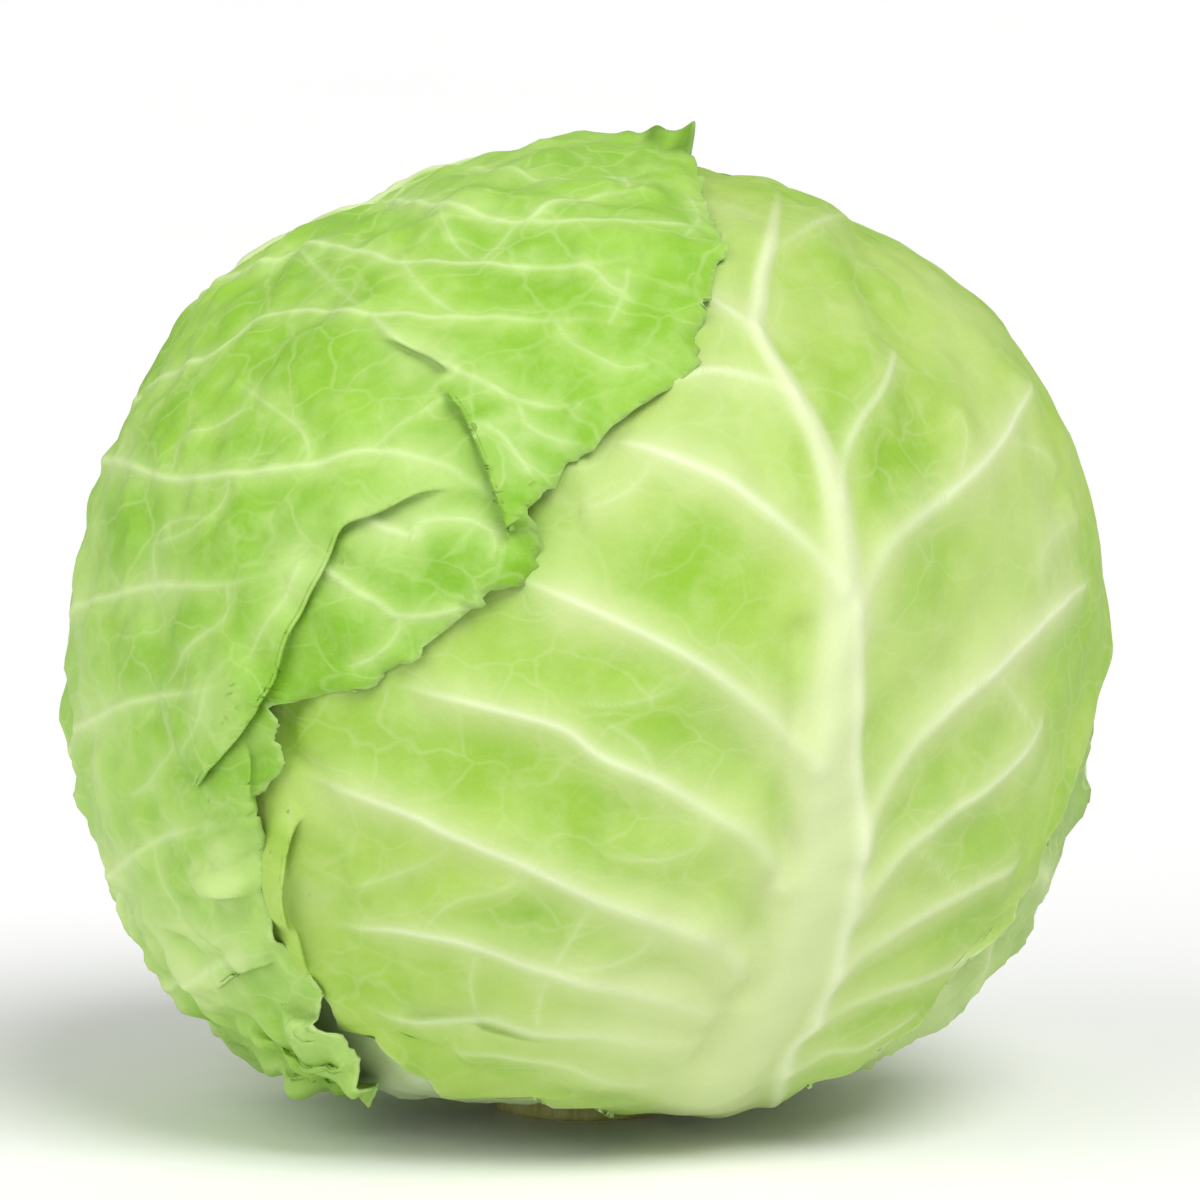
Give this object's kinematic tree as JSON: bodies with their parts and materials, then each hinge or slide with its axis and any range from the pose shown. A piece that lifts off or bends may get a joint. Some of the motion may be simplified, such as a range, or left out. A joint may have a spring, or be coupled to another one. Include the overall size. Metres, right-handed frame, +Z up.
{
  "type": "cabbage head",
  "caption": "Head of green cabbage with thin, ribbed wrapper leaves laid over one another round a dense heart, standing on its cut stem.",
  "frame": {"origin": "middle of the flat cut face of the stem, which the head rests on", "axes": "+Z up through the head; -Y is the front, towards the pale leaf with the broad midrib; +X is to its right"},
  "size_m": [0.1894, 0.1885, 0.1785],
  "materials": {
    "cut_stem": "matt, fibrous cut surface",
    "heart": "smooth, slightly waxy",
    "leaf_inner": "smooth, slightly waxy",
    "leaf_outer": "smooth, slightly waxy",
    "leaf_pale": "smooth, slightly waxy"
  },
  "bodies": {
    "root": {"stem": "cut_stem", "heart": "heart", "leaf_inner_right": "leaf_inner", "leaf_inner_front": "leaf_inner", "leaf_back": "leaf_outer", "leaf_front": "leaf_pale", "leaf_left": "leaf_outer"}
  },
  "joints": []
}
